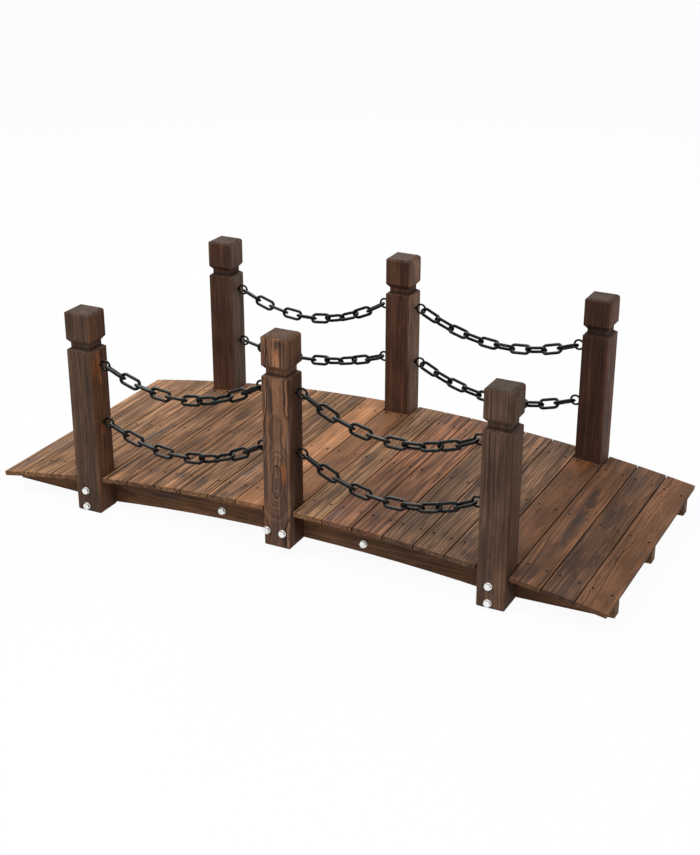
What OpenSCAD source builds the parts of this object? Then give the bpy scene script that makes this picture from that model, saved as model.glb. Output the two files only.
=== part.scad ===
// Arched wooden garden bridge with six capped posts and eight hanging chains
// X runs along the deck, Y from the front to the back, Z up from the ground

/* [Bridge] */
// Length of the deck from tip to tip
bridge_l = 1500; // [1420:10:1700]
// Width over the outer faces of the posts
bridge_w = 676; // [600:2:800]
// Rise of the deck from its tips to its middle
deck_rise = 67; // [52:1:80]
// Height of the deck's top face at its tips
tip_h = 52; // [46:1:60]

/* [Deck boards] */
// Thickness of a board
board_t = 11; // [8:0.5:16]
// Gap between neighbouring boards
board_gap = 2.2; // [0.6:0.1:3]
// Distance of the board ends inside the outer faces of the posts
board_inset = 6; // [2:0.5:20]
// Eased top edge of a board
board_ease = 1.2; // [0.4:0.1:2.5]

/* [Beams] */
// Thickness of a beam
beam_t = 26; // [20:1:34]
// Length of the foot at each end of a beam
foot_l = 260; // [220:5:300]
// Rise of a foot's underside from the post to the beam's end
foot_lift = 6; // [2:0.5:9]
// Rise of the arch under a beam
arch_rise = 25; // [16:1:32]
// Distance of a beam's end inside the deck's tip
beam_setback = 3; // [1:0.5:12]

/* [Cross rails] */
// Distance of a cross rail from the middle of the bridge
rail_x = 179; // [140:1:240]
// Width of a cross rail along the bridge
rail_w = 28; // [22:1:36]
// Height of a cross rail
rail_h = 38; // [28:1:42]

/* [Posts] */
// Side of a square post
post_side = 66; // [58:1:67]
// Length of a post
post_l = 490; // [450:5:560]
// Reach of a post below the lower edge of its beam
post_drop = 5; // [3:0.5:8]
// Radius of a post's upright edges
post_edge_r = 6; // [3:0.5:8]
// Radius of the edges round a post's top
post_end_r = 7; // [4:0.5:8]
// Radius of the edges round a post's foot
foot_round_r = 11; // [8:0.5:12]
// Radius of a head's upper edge on the right, which is rounded off more
head_round_r = 13; // [8:0.5:16]
// Height of the head over the groove
head_h = 63; // [50:1:75]
// Depth of the groove under the head
groove_d = 9; // [5:0.5:12]
// Height of the sloped face under the head
groove_top_h = 11; // [6:0.5:14]
// Height of the upright face in the groove
groove_mid_h = 11; // [6:0.5:14]
// Height of the sloped shoulder under the groove
groove_low_h = 6; // [4:0.5:12]

/* [Bolts] */
// Diameter of a bolt's shank
bolt_d = 8; // [6:0.5:9]
// Width of a bolt's head across its flats
bolt_head_w = 14; // [12:0.5:15]
// Height of a bolt's head
bolt_head_h = 5.5; // [4:0.5:8]
// Diameter of a washer
washer_d = 17; // [16:0.5:18]
// Height of the lower bolt in an end post
bolt_low = 16.5; // [15.5:0.5:18]
// Height of the upper bolt in an end post
bolt_high = 56; // [44:0.5:58]
// Height of the two bolts in a middle post
bolt_mid = 40; // [34:0.5:50]
// Distance between the two bolts in a middle post
bolt_pair = 39; // [24:0.5:42]
// Distance of the bolts to the left of a post's middle line
bolt_shift = 5; // [0:0.5:6]

/* [Chains] */
// Height of the lower screw eyes on a post
eye_low = 225; // [200:1:260]
// Height of the upper screw eyes on a post
eye_high = 364; // [330:1:375]
// Outer diameter of a screw eye's ring
eye_d = 27.5; // [25:0.5:32]
// Wire of a screw eye
eye_wire = 5; // [4:0.25:5.5]
// Distance of a ring's middle from the face of its post
eye_out = 16; // [15:0.5:20]
// Wire of a chain link
link_wire = 7.4; // [6:0.2:7.6]
// Outer width of a chain link
link_w = 28; // [26:0.5:30]
// Outer length of a chain link, before it is fitted to the span
link_l = 55.5; // [50:0.5:66]
// Length of a chain over the straight line between its eyes, in per cent
chain_slack = 5.3; // [3:0.1:9]
// The same for the two chains at the back on the right
right_slack = 3.8; // [3:0.1:9]
// The same for the lower chain at the back on the left, which hangs tightest
tight_slack = 1.6; // [1.2:0.1:9]
// Roll of the end links from the level, towards the front
link_roll = 26; // [0:1:30]
// Further roll of the links at the back on the right
right_roll = 18; // [0:1:20]

/* [Hidden] */
$fn = 96;
long_arc_fn = 1440;

// Clearances of faces that seat, holes and links, and the reach of a cut beyond its face
seat = 0.1;
hole_play = 0.3;
link_play = 0.4;
cut_over = 1;

// The deck's arc, through the boards' top faces
board_count = 21;
half_l = bridge_l / 2;
deck_r = (half_l * half_l + deck_rise * deck_rise) / (2 * deck_rise);
crown_h = tip_h + deck_rise;
deck_cz = crown_h - deck_r;
board_angle = 2 * asin(half_l / deck_r) / board_count;
board_w = 2 * (deck_r - board_t) * tan(board_angle / 2) - board_gap;
middle_board = (board_count + 1) / 2;

// The end posts stand at the seventh board from the middle
post_boards = 7;
post_x = deck_r * sin(post_boards * board_angle);
post_y = bridge_w / 2 - post_side / 2;
post_in_y = bridge_w / 2 - post_side;

// The beams' side view
beam_half = half_l - beam_setback;
beam_top_r = deck_r - board_t - seat;
beam_y = post_in_y - seat - beam_t / 2;
foot_h = post_drop;
arch_half = beam_half - foot_l;
arch_r = (arch_half * arch_half + arch_rise * arch_rise) / (2 * arch_rise);
arch_cz = foot_h + arch_rise - arch_r;
foot_slope = foot_lift / foot_l;
foot_overrun = 40;

// The cross rails, just above the arch
rail_up = 1.5;
rail_z = arch_cz + sqrt(arch_r * arch_r - pow(rail_x - rail_w / 2, 2)) + rail_up;
rail_half_l = beam_y - beam_t / 2 - seat;
rail_bolt_z = rail_z + rail_h / 2;
rail_bolt_bite = 45;
rail_bolt_l = beam_t + rail_bolt_bite;

// Bolts through a post and its beam
washer_t = 1.6;
nut_h = 6.5;
bolt_tail = 3;
grip = post_side + seat + beam_t;
corner_per_flat = 2 / sqrt(3);

// The turned-off corners of hexagon heads and nuts
crown_share = 0.95;
crown_slope = 30;

// Screw eyes
eye_r = (eye_d - eye_wire) / 2;
eye_in_r = eye_d / 2 - eye_wire;
eye_collar = 0.7;
eye_shank_d = eye_wire + eye_collar;
eye_depth = 24;

// How far the links of a chain's second half turn back, and over what part of the chain
full_turn_back = 84;
part_turn_back = 60;
right_turn_back = 21;
turn_back_part = 0.5;

// Links over which the further roll begins, and steps of a chain's curve
roll_links = 2;
sag_steps = 8;

// Heights of the posts' bottoms, by place along the bridge
middle_lift = arch_rise;
function post_z(place) = place == 0 ? middle_lift : 0;

// Names of the sides, places and levels, and the nodes made from them
sides = [-1, 1];
places = [-1, 0, 1];
bays = [-1, 1];
levels = [0, 1];
function side_name(side) = side < 0 ? "front" : "back";
function place_name(place) = place < 0 ? "left" : place > 0 ? "right" : "middle";
function level_name(level) = level > 0 ? "upper" : "lower";
function board_name(i) = str("deck_board_", i < 10 ? "0" : "", i);
function post_name(side, place) = str(side_name(side), "_", place_name(place), "_post");
function chain_name(side, bay, level) =
    str(side_name(side), "_", place_name(bay), "_", level_name(level), "_chain");
function bolts_name(side) = str(side_name(side), "_bolts");
function eyes_name(side) = str(side_name(side), "_screw_eyes");

// Stained wood, black iron and bright steel
beam_colour = [0.27, 0.18, 0.13];
post_colour = [0.30, 0.21, 0.16];
deck_colour = [0.49, 0.34, 0.24];
iron_colour = [0.07, 0.07, 0.07];
steel_colour = [0.86, 0.86, 0.84];

// Places of the bolts in a post, from the middle of its bottom
function post_bolts(place) = place == 0
    ? [[-bolt_shift - bolt_pair / 2, bolt_mid], [-bolt_shift + bolt_pair / 2, bolt_mid]]
    : [[-bolt_shift, bolt_low], [-bolt_shift, bolt_high]];

// Faces of a post that carry screw eyes, left and right
function eye_faces(place) = place < 0 ? [1] : place > 0 ? [-1] : [-1, 1];
function eye_z(level) = level > 0 ? eye_high : eye_low;
function eye_x(place, face) = place * post_x + face * (post_side / 2 + eye_out);

// Hyperbolic functions for a hanging chain
function sinh(u) = (exp(u) - exp(-u)) / 2;
function cosh(u) = (exp(u) + exp(-u)) / 2;
function arsinh(u) = ln(u + sqrt(u * u + 1));
function artanh(u) = ln((1 + u) / (1 - u)) / 2;

// Root of sinh(u) = k u, by steps of tangents
function sag_root(k, u, steps) =
    steps == 0 ? u : sag_root(k, u - (sinh(u) - k * u) / (cosh(u) - k), steps - 1);

// Side view of a beam
module beam_outline() {
    overrun_z = foot_h - foot_slope * foot_overrun;
    overrun_x = arch_half - foot_overrun;
    difference() {
        intersection() {
            translate([0, deck_cz]) circle(r = beam_top_r, $fn = long_arc_fn);
            polygon([
                [-beam_half, foot_h + foot_lift],
                [-overrun_x, overrun_z],
                [overrun_x, overrun_z],
                [beam_half, foot_h + foot_lift],
                [beam_half, crown_h],
                [-beam_half, crown_h]
            ]);
        }
        translate([0, arch_cz]) circle(r = arch_r, $fn = long_arc_fn);
    }
}

module beam_blank(y) {
    translate([0, y + beam_t / 2, 0]) rotate([90, 0, 0]) linear_extrude(height = beam_t) beam_outline();
}

// A round hole or pin along Y, from y up to y + length
module along_y(x, y, z, d, length) {
    translate([x, y, z]) rotate([-90, 0, 0]) cylinder(d = d, h = length);
}

// An outer beam, drilled for the posts' bolts and the cross rails' bolts
module outer_beam(side) {
    color(beam_colour) difference() {
        beam_blank(side * beam_y);
        for (place = places)
            for (b = post_bolts(place))
                along_y(place * post_x + b[0], side * beam_y - beam_t, post_z(place) + b[1],
                    bolt_d + hole_play, 2 * beam_t);
        for (end = bays)
            along_y(end * rail_x, side * beam_y - beam_t, rail_bolt_z, bolt_d + hole_play, 2 * beam_t);
    }
}

module front_beam() {
    outer_beam(-1);
}

module back_beam() {
    outer_beam(1);
}

// The middle beam, notched from below over both cross rails
module middle_beam() {
    notch_w = rail_w + 2 * hole_play;
    color(beam_colour) difference() {
        beam_blank(0);
        for (end = bays)
            translate([end * rail_x - notch_w / 2, -beam_t, 0])
                cube([notch_w, 2 * beam_t, rail_z + rail_h + seat]);
    }
}

// A cross rail, drilled in both ends
module cross_rail(end) {
    color(beam_colour) difference() {
        translate([end * rail_x - rail_w / 2, -rail_half_l, rail_z])
            cube([rail_w, 2 * rail_half_l, rail_h]);
        for (side = sides)
            along_y(end * rail_x, side * rail_half_l - rail_bolt_l, rail_bolt_z,
                bolt_d + hole_play, 2 * rail_bolt_l);
    }
}

module left_cross_rail() {
    cross_rail(-1);
}

module right_cross_rail() {
    cross_rail(1);
}

// A flat rectangle with rounded lower corners, and rounded upper corners where top_r is set
module eased_side(w, z0, z1, low_r, top_r) {
    translate([-w / 2, z0 + low_r]) square([w, z1 - z0 - low_r - top_r]);
    if (low_r > 0) {
        translate([-w / 2 + low_r, z0]) square([w - 2 * low_r, low_r]);
        for (s = sides) translate([s * (w / 2 - low_r), z0 + low_r]) circle(r = low_r);
    }
    if (top_r > 0) {
        translate([-w / 2 + top_r, z1 - top_r]) square([w - 2 * top_r, top_r]);
        for (s = sides) translate([s * (w / 2 - top_r), z1 - top_r]) circle(r = top_r);
    }
}

// Side view of a post: shaft, groove and head
module post_side_view() {
    head_z = post_l - head_h;
    neck_z = head_z - groove_top_h;
    shoulder_z = neck_z - groove_mid_h;
    shaft_z = shoulder_z - groove_low_h;
    half = post_side / 2;
    neck = half - groove_d;
    union() {
        eased_side(post_side, 0, shaft_z, foot_round_r, 0);
        polygon([
            [-half, shaft_z], [half, shaft_z], [neck, shoulder_z], [neck, neck_z],
            [half, head_z], [-half, head_z], [-neck, neck_z], [-neck, shoulder_z]
        ]);
        eased_side(post_side, head_z, post_l, 0, post_end_r);
    }
}

// Front view of a post: its side view with the head's right upper corner rounded off more
module post_front_view() {
    difference() {
        post_side_view();
        translate([post_side / 2 - head_round_r, post_l - head_round_r]) difference() {
            square(head_round_r + cut_over);
            circle(r = head_round_r);
        }
    }
}

// Plan of a post, with rounded upright edges
module post_plan() {
    w = post_side - 2 * post_edge_r;
    square([post_side, w], center = true);
    square([w, post_side], center = true);
    for (sx = sides) for (sy = sides) translate([sx * w / 2, sy * w / 2]) circle(r = post_edge_r);
}

// A post is what its plan, its front view and its side view have in common
module post_blank() {
    intersection() {
        linear_extrude(height = post_l) post_plan();
        translate([0, post_side, 0]) rotate([90, 0, 0])
            linear_extrude(height = 2 * post_side) post_front_view();
        rotate([0, 0, 90]) translate([0, post_side, 0]) rotate([90, 0, 0])
            linear_extrude(height = 2 * post_side) post_side_view();
    }
}

module post(side, place) {
    color(post_colour) translate([place * post_x, side * post_y, post_z(place)]) difference() {
        post_blank();
        for (b = post_bolts(place)) along_y(b[0], -post_side, b[1], bolt_d + hole_play, 2 * post_side);
        for (face = eye_faces(place))
            for (level = levels)
                translate([face * (post_side / 2 - eye_depth - cut_over), 0, eye_z(level)])
                    rotate([0, face * 90, 0])
                        cylinder(d = eye_shank_d + hole_play, h = eye_depth + 2 * cut_over);
    }
}

// A deck board, with both long top edges eased
module deck_board(i) {
    turn = i - middle_board;
    at_post = turn == 0 || abs(turn) == post_boards;
    length = at_post ? 2 * (post_in_y - hole_play) : bridge_w - 2 * board_inset;
    half = board_w / 2;
    color(deck_colour) translate([0, 0, deck_cz]) rotate([0, turn * board_angle, 0])
        translate([0, length / 2, deck_r - board_t]) rotate([90, 0, 0]) linear_extrude(height = length)
            polygon([
                [-half, 0], [half, 0], [half, board_t - board_ease], [half - board_ease, board_t],
                [-half + board_ease, board_t], [-half, board_t - board_ease]
            ]);
}

// A hexagon head or nut whose upper corners are turned off
module hexagon(h) {
    crown_d = bolt_head_w * crown_share;
    intersection() {
        cylinder(d = bolt_head_w * corner_per_flat, h = h, $fn = 6);
        cylinder(d1 = crown_d + 2 * h / tan(crown_slope), d2 = crown_d, h = h);
    }
}

// A hexagon bolt along Y whose washer seats at y = 0 and whose shank runs towards +Y
module bolt(shank_l) {
    along_y(0, -washer_t, 0, washer_d, washer_t);
    rotate([90, 0, 0]) translate([0, 0, washer_t]) hexagon(bolt_head_h);
    along_y(0, -washer_t, 0, bolt_d, washer_t + shank_l);
}

// A bolt with a washer and nut where it leaves the wood
module nutted_bolt() {
    bolt(grip + washer_t + nut_h + bolt_tail);
    along_y(0, grip, 0, washer_d, washer_t);
    translate([0, grip + washer_t, 0]) rotate([-90, 0, 0]) hexagon(nut_h);
}

// All bolts of one side: through the posts, and through the beam into the cross rails
module bolts(side) {
    color(steel_colour) for (place = places)
        for (b = post_bolts(place))
            translate([place * post_x + b[0], side * bridge_w / 2, post_z(place) + b[1]])
                rotate([0, 0, side > 0 ? 180 : 0]) nutted_bolt();
    color(steel_colour) for (end = bays)
        translate([end * rail_x, side * (beam_y + beam_t / 2), rail_bolt_z])
            rotate([0, 0, side > 0 ? 180 : 0]) bolt(rail_bolt_l);
}

// A screw eye whose ring's middle is at the origin and whose shank runs towards -X
module screw_eye() {
    rotate([90, 0, 0]) rotate_extrude() translate([eye_r, 0]) circle(d = eye_wire);
    translate([-eye_out - eye_depth, 0, 0]) rotate([0, 90, 0])
        cylinder(d = eye_shank_d, h = eye_out + eye_depth - eye_r);
}

// All screw eyes of one side
module screw_eyes(side) {
    color(iron_colour) for (place = places)
        for (face = eye_faces(place))
            for (level = levels)
                translate([eye_x(place, face), side * post_y, post_z(place) + eye_z(level)])
                    rotate([0, 0, face < 0 ? 180 : 0]) screw_eye();
}

// A chain link lying flat, with its length along X
module chain_link(inner_l) {
    mid_r = (link_w - link_wire) / 2;
    half = inner_l / 2 + link_wire / 2 - mid_r;
    union() {
        for (end = bays) {
            translate([end * half, 0, 0]) rotate([0, 0, -90 * end])
                rotate_extrude(angle = 180) translate([mid_r, 0]) circle(d = link_wire);
            for (leg = sides)
                translate([0, leg * mid_r, 0]) rotate([0, end * 90, 0]) cylinder(d = link_wire, h = half);
        }
    }
}

// Slack of each chain, how far its second half turns back, and its roll: the chains don't all hang alike
function at_back_right(side, bay) = side > 0 && bay > 0;
function slack(side, bay, level) =
    at_back_right(side, bay) ? right_slack : side > 0 && level == 0 ? tight_slack : chain_slack;
function turn_back(side, bay) =
    at_back_right(side, bay) ? right_turn_back : side < 0 && bay < 0 ? full_turn_back : part_turn_back;
function roll(side, bay, from_start) =
    link_roll + (at_back_right(side, bay) ? right_roll * min(1, (from_start - 1) / roll_links) : 0);

// A chain hung between two screw eyes: its joints lie on a catenary and its links turn by quarters.
// One half turns back slowly, so that both end links lie nearly level in their eyes:
// the left half at the back on the right, and the right half elsewhere
module chain(side, bay, level) {
    left_place = bay < 0 ? -1 : 0;
    right_place = left_place + 1;
    ax = eye_x(left_place, 1);
    bx = eye_x(right_place, -1);
    az = post_z(left_place) + eye_z(level);
    bz = post_z(right_place) + eye_z(level);
    span = bx - ax;
    climb = bz - az;
    length = sqrt(span * span + climb * climb) * (1 + slack(side, bay, level) / 100);
    ratio = sqrt(length * length - climb * climb) / span;
    root = sag_root(ratio, sqrt(6 * (ratio - 1)), sag_steps);
    a = span / (2 * root);
    low_x = (ax + bx) / 2 - a * artanh(climb / length);
    start_s = a * sinh((ax - low_x) / a);
    base_z = az - sqrt(a * a + start_s * start_s);
    first_s = eye_in_r - link_play / 2;
    links = round((length - 2 * first_s) / (link_l - 2 * link_wire - link_play));
    pitch = (length - 2 * first_s) / links;
    joints = [
        for (j = [0 : links])
            let (s = start_s + first_s + j * pitch)
            [low_x + a * arsinh(s / a), base_z + sqrt(a * a + s * s)]
    ];
    color(iron_colour) for (j = [1 : links]) {
        p = joints[j - 1];
        q = joints[j];
        slope = atan2(q[1] - p[1], q[0] - p[0]);
        from_start = at_back_right(side, bay) ? links + 1 - j : j;
        eased = max(0, min(1, (from_start - links / 2) / (turn_back_part * links)));
        back = links % 2 == 0 ? turn_back(side, bay) * eased : 0;
        translate([(p[0] + q[0]) / 2, side * post_y, (p[1] + q[1]) / 2])
            rotate([0, -slope, 0]) rotate([90 * (from_start - 1) - back - roll(side, bay, from_start), 0, 0])
                chain_link(pitch + link_play);
    }
}

front_beam();
middle_beam();
back_beam();
left_cross_rail();
right_cross_rail();
for (side = sides)
    for (place = places)
        post(side, place);
for (i = [1 : board_count])
    deck_board(i);
for (side = sides)
    bolts(side);
for (side = sides)
    screw_eyes(side);
for (side = sides)
    for (bay = bays)
        for (level = levels)
            chain(side, bay, level);
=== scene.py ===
"""Dressed scene of the wooden garden bridge.

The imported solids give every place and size. This script puts eased deck boards in place of the plain
ones, drives the deck screws, gives each timber its own grain and sets up the studio.
"""

import logging
import math
import random
from dataclasses import dataclass, field
from enum import Enum

import bmesh
import bpy
from mathutils import Euler, Matrix, Quaternion, Vector


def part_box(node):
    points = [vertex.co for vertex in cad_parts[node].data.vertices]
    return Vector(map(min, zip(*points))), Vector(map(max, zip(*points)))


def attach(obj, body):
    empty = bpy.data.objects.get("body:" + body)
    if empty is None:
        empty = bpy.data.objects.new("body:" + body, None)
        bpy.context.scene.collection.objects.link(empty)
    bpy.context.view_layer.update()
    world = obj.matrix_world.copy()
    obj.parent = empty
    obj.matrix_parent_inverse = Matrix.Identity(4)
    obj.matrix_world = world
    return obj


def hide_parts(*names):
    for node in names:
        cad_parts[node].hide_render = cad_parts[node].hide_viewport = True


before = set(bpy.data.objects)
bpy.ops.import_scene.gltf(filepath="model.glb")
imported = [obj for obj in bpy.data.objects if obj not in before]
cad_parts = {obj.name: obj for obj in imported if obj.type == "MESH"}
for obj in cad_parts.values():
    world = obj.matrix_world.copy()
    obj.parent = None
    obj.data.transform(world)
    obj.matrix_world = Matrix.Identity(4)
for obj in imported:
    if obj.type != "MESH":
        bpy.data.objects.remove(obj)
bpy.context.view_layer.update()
log = logging.getLogger("garden_bridge")

Colour = tuple[float, float, float]
Spot = tuple[float, float, float]
Socket = bpy.types.NodeSocket

WHITE = (1.0, 1.0, 1.0, 1.0)
BEAMS = ("front_beam", "middle_beam", "back_beam")
RAILS = ("left_cross_rail", "right_cross_rail")
# How far a post's faces lie from its middle, in metres
FACE = 0.033
# Half the depth of a mark that goes right through a board, in metres
THROUGH = 0.05


def linear(colour: Colour) -> tuple[float, float, float, float]:
    """Turn a colour as seen on a screen into the renderer's linear light.

    Args:
        colour: Red, green and blue from 0 to 255.

    Returns:
        The linear colour with an alpha of 1.
    """
    shares = [part / 255 for part in colour]
    return (*[s / 12.92 if s <= 0.04045 else ((s + 0.055) / 1.055) ** 2.4 for s in shares], 1.0)


class NodeBench:
    """A node tree, with short ways to add and join its nodes."""

    def __init__(self, tree: bpy.types.NodeTree) -> None:
        """Clear the tree.

        Args:
            tree: A material's or a world's tree.
        """
        tree.nodes.clear()
        self.tree = tree

    def add(self, kind: str, inputs: dict | None = None, **settings: object) -> bpy.types.Node:
        """Add one node.

        Args:
            kind: Blender's name of the node type.
            inputs: A value or another node's output for each input, by name or number.
            settings: The node's own settings.

        Returns:
            The new node.
        """
        node = self.tree.nodes.new(kind)
        for key, value in settings.items():
            setattr(node, key, value)
        for socket, value in (inputs or {}).items():
            self.feed(node.inputs[socket], value)
        return node

    def feed(self, socket: Socket, value: object) -> None:
        """Give an input a fixed value or join another node's output to it.

        Args:
            socket: The input.
            value: A number, colour, vector or output.
        """
        if isinstance(value, Socket):
            self.tree.links.new(value, socket)
        else:
            socket.default_value = value

    def place(self) -> Socket:
        """The point on the object, in the bridge's frame."""
        return self.add("ShaderNodeTexCoord").outputs["Object"]

    def seen(self) -> Socket:
        """1 where the camera or a mirroring surface looks on, and 0 where only light arrives."""
        path = self.add("ShaderNodeLightPath").outputs
        return self.math("MAXIMUM", path["Is Camera Ray"], path["Is Glossy Ray"])

    def math(self, operation: str, first: object, second: object = 0.0) -> Socket:
        """Work out one number from two.

        Args:
            operation: Blender's name of the operation.
            first: The first number or output.
            second: The second number or output.

        Returns:
            The result's output.
        """
        return self.add("ShaderNodeMath", {0: first, 1: second}, operation=operation).outputs[0]

    def times(self, first: object, *others: object) -> object:
        """Multiply numbers.

        Args:
            first: The first number or output.
            others: The numbers or outputs to multiply it by.

        Returns:
            The product's output.
        """
        for other in others:
            first = self.math("MULTIPLY", first, other)
        return first

    def vector(self, operation: str, *inputs: object) -> Socket:
        """Work out one vector from others.

        Args:
            operation: Blender's name of the operation.
            inputs: The vectors or outputs.

        Returns:
            The result's vector output.
        """
        return self.add("ShaderNodeVectorMath", dict(enumerate(inputs)), operation=operation).outputs[0]

    def length(self, vector: Socket) -> Socket:
        """The length of a vector."""
        return self.add("ShaderNodeVectorMath", {0: vector}, operation="LENGTH").outputs["Value"]

    def apart(self, vector: Socket) -> bpy.types.NodeOutputs:
        """The three parts of a vector."""
        return self.add("ShaderNodeSeparateXYZ", {0: vector}).outputs

    def ramp(self, value: object, low: float, high: float, start: float = 0.0, end: float = 1.0) -> Socket:
        """Ease a number smoothly from one range to another.

        Args:
            value: The number or output.
            low: Where the ease begins.
            high: Where the ease ends.
            start: The result below low.
            end: The result above high.

        Returns:
            The eased output.
        """
        inputs = {0: value, 1: low, 2: high, 3: start, 4: end}
        return self.add("ShaderNodeMapRange", inputs, interpolation_type="SMOOTHSTEP").outputs[0]

    def tint(self, share: object, first: object, colour: Colour) -> Socket:
        """Lean a colour towards another one.

        Args:
            share: How much of the other colour shows.
            first: The first colour's output or its linear light.
            colour: The other colour as seen on a screen.

        Returns:
            The blended colour's output.
        """
        inputs = {0: share, 6: first, 7: linear(colour)}
        return self.add("ShaderNodeMix", inputs, data_type="RGBA").outputs[2]

    def noise(self, spot: object, scale: float, detail: float, rough: float = 0.55) -> bpy.types.Node:
        """Add soft noise over a place.

        Args:
            spot: The place.
            scale: Cells per metre of the place.
            detail: How many finer layers are added.
            rough: How strong the finer layers are.

        Returns:
            The noise node.
        """
        inputs = {"Vector": spot, "Scale": scale, "Detail": detail, "Roughness": rough}
        return self.add("ShaderNodeTexNoise", inputs)

    def noise_1d(self, value: object, scale: float, detail: float) -> Socket:
        """Add soft noise along a number.

        Args:
            value: The number or output.
            scale: Cells per unit of the number.
            detail: How many finer layers are added.

        Returns:
            The noise's output, about 0.5 in the mean.
        """
        inputs = {"W": value, "Scale": scale, "Detail": detail}
        return self.add("ShaderNodeTexNoise", inputs, noise_dimensions="1D").outputs[0]


class MaterialBench(NodeBench):
    """The node tree of a new material, with its shader and output."""

    def __init__(self, name: str) -> None:
        """Start a material with only a shader and its output.

        Args:
            name: The material's name.
        """
        self.material = bpy.data.materials.new(name)
        self.material.use_nodes = True
        super().__init__(self.material.node_tree)
        self.shader = self.add("ShaderNodeBsdfPrincipled")
        self.output = self.add("ShaderNodeOutputMaterial", {"Surface": self.shader.outputs[0]})

    def surface(self, **inputs: object) -> None:
        """Give the shader its inputs, with an underscore for each space in their names.

        Args:
            inputs: A value or another node's output for each input.
        """
        for name, value in inputs.items():
            self.feed(self.shader.inputs[name.replace("_", " ")], value)

    def bump(self, height: Socket, strength: float, distance: float) -> Socket:
        """The surface's direction where fine relief tilts it.

        Args:
            height: The relief's height, from 0 to 1.
            strength: How much of the relief shows.
            distance: The relief's full height, in metres.

        Returns:
            The direction's output.
        """
        inputs = {"Strength": strength, "Distance": distance, "Height": height}
        return self.add("ShaderNodeBump", inputs).outputs[0]


class Grain(Enum):
    """Which way a timber's fibres run: its side, fibre and face directions."""

    ALONG = ((0, 1, 0), (1, 0, 0), (0, 0, -1))
    ACROSS = ((1, 0, 0), (0, 1, 0), (0, 0, 1))
    UP = ((1, 0, 0), (0, 0, 1), (0, -1, 0))


@dataclass(frozen=True)
class Rise:
    """A place where a log's heart comes nearer to the face of a timber.

    Attributes:
        at: The place along the timber, in metres from its middle.
        reach: How far along the timber it reaches to each side, in metres.
        height: How much nearer the heart comes, in metres.
    """

    at: float
    reach: float
    height: float


@dataclass(frozen=True)
class Cut:
    """How a timber was sawn from its log: where the log's heart lies from the timber's middle.

    Attributes:
        side: The heart's distance to the side, in metres.
        depth: The heart's distance behind the middle, in metres.
        tip: How far the heart tips towards the face along the timber, in degrees.
        ring: The mean width of a year's ring, in metres.
        wander: How far the rings wander, in metres.
        rises: The places where the heart comes nearer to the face.
        ripple: How often the rings wander along the timber, in cells per metre.
        spread: How far to the side of the heart the rings show clearly, in metres.
    """

    side: float
    depth: float
    tip: float
    ring: float
    wander: float
    rises: tuple[Rise, ...] = ()
    ripple: float = 3.4
    spread: float = 1.0


class Sawing(Enum):
    """The usual ways of sawing a plank or a post."""

    STRAIGHT = Cut(side=0.12, depth=0.05, tip=0.3, ring=0.0085, wander=0.010)
    RIFT = Cut(side=-0.07, depth=0.06, tip=0.6, ring=0.0090, wander=0.014)
    ARCHED = Cut(side=0.008, depth=0.022, tip=2.0, ring=0.0075, wander=0.012)
    ARCHED_DOWN = Cut(side=-0.012, depth=0.024, tip=-2.2, ring=0.0075, wander=0.012)
    CURLED = Cut(side=-0.016, depth=0.0, tip=0.1, ring=0.0062, wander=0.026, ripple=8.0, spread=0.026)
    LOOPED = Cut(
        side=0.003,
        depth=0.003,
        tip=0.0,
        ring=0.0072,
        wander=0.020,
        rises=(Rise(-0.090, 0.118, 0.034), Rise(0.041, 0.046, 0.007)),
        ripple=7.0,
    )


@dataclass(frozen=True)
class Year:
    """How one year's ring goes from soft to hard wood, as shares of its width.

    Attributes:
        dark: Where the hard dark line begins, is full, begins to end and has ended.
        pale: Where the pale line beside it begins, and where it has ended in the next year.
        uneven: How much the rings' widths differ.
        weak: How much a weak year's lines show.
    """

    dark: tuple[float, float, float, float] = (0.54, 0.86, 0.9, 0.97)
    pale: tuple[float, float] = (0.95, 0.16)
    uneven: float = 2.2
    weak: float = 0.3


@dataclass(frozen=True)
class Timber:
    """One piece of wood as the finishes see it.

    Attributes:
        name: The piece's name.
        middle: The piece's middle, in metres.
        half: Half the piece's width across its grain, in metres.
        reach: Half the piece's length along its grain, in metres.
        grain: Which way its fibres run.
        cut: How it was sawn.
        seed: A number that makes its pattern its own.
        lean: The piece's turn about the bridge's Y axis, in radians.
        groove: Where the foot of its neck lies, in metres from its middle along its grain; painted shade
            darkens the neck above it and a thin line along it.
    """

    name: str
    middle: Vector
    half: float
    reach: float
    grain: Grain
    cut: Cut
    seed: int
    lean: float = 0.0
    groove: float | None = None

    def turn(self) -> Matrix:
        """The rotation from its own directions to the bridge's."""
        return Matrix.Rotation(self.lean, 3, "Y") @ Matrix(self.grain.value).transposed()


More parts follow.
